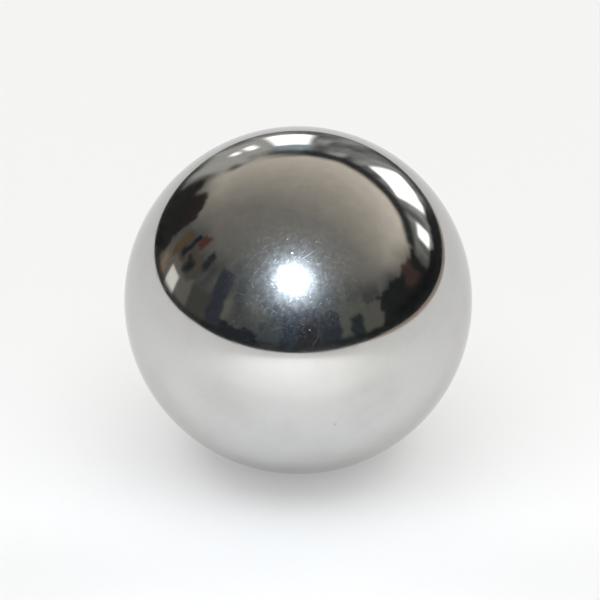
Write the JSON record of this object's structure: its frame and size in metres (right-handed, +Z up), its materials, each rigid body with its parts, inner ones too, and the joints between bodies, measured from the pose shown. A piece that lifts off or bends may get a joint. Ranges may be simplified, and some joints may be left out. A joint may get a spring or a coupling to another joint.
{
  "type": "ball magnet",
  "caption": "Solid round ball magnet, plated and polished to a mirror, magnetised straight through so that it clings to steel at either pole.",
  "frame": {"origin": "the ball's centre", "axes": "+Z up and along the magnetic axis, from the lower pole to the upper pole; the camera side of the ball is -Y"},
  "size_m": [0.0254, 0.0254, 0.0254],
  "materials": {
    "plating": "bright plating polished to a mirror, with hairline handling scratches"
  },
  "bodies": {
    "root": {"ball": "plating"}
  },
  "joints": []
}
